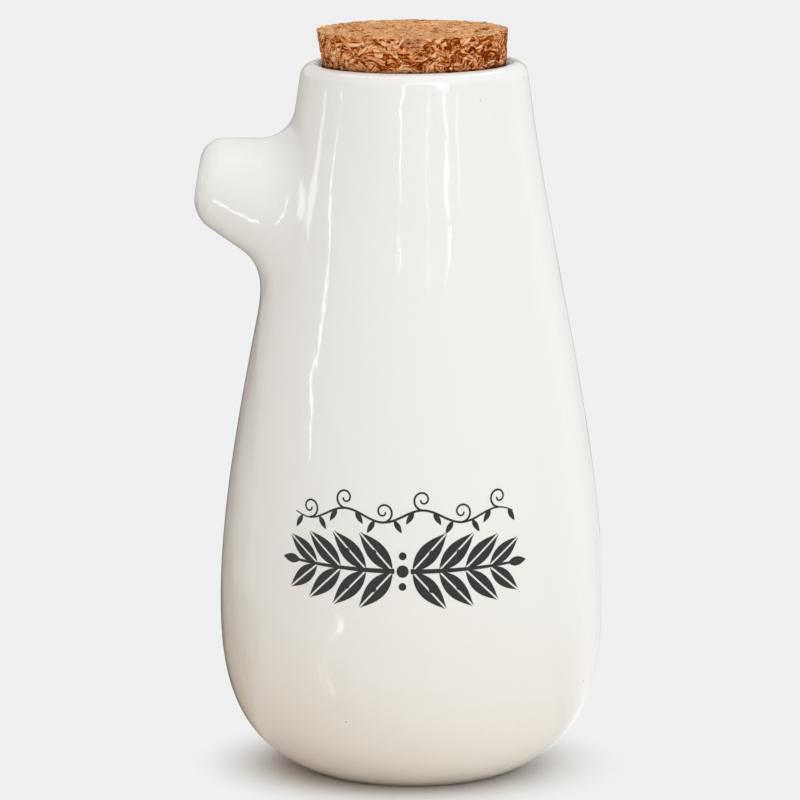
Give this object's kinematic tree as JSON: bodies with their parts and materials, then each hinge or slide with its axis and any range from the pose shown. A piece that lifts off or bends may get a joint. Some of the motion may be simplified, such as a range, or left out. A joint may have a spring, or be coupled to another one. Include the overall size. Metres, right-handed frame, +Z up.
{
  "type": "oil bottle",
  "caption": "Teardrop-shaped glazed ceramic oil bottle with a short, wide pouring spout blended into its side and a tapered pressed-cork stopper.",
  "frame": {"origin": "on the bottle's axis, in the plane of its foot ring", "axes": "+Z up along the bottle's axis, -X towards the spout, -Y towards the printed front"},
  "size_m": [0.1013, 0.095, 0.1848],
  "materials": {
    "glaze": null,
    "cork": "pressed cork granules, matt, tan to dark brown"
  },
  "bodies": {
    "bottle": {"bottle": "glaze"},
    "stopper": {"stopper": "cork"}
  },
  "joints": [
    {"name": "stopper_lift", "type": "slide", "parent": "bottle", "child": "stopper", "axis": [0, 0, 1], "range_m": [0, 0.05]}
  ]
}
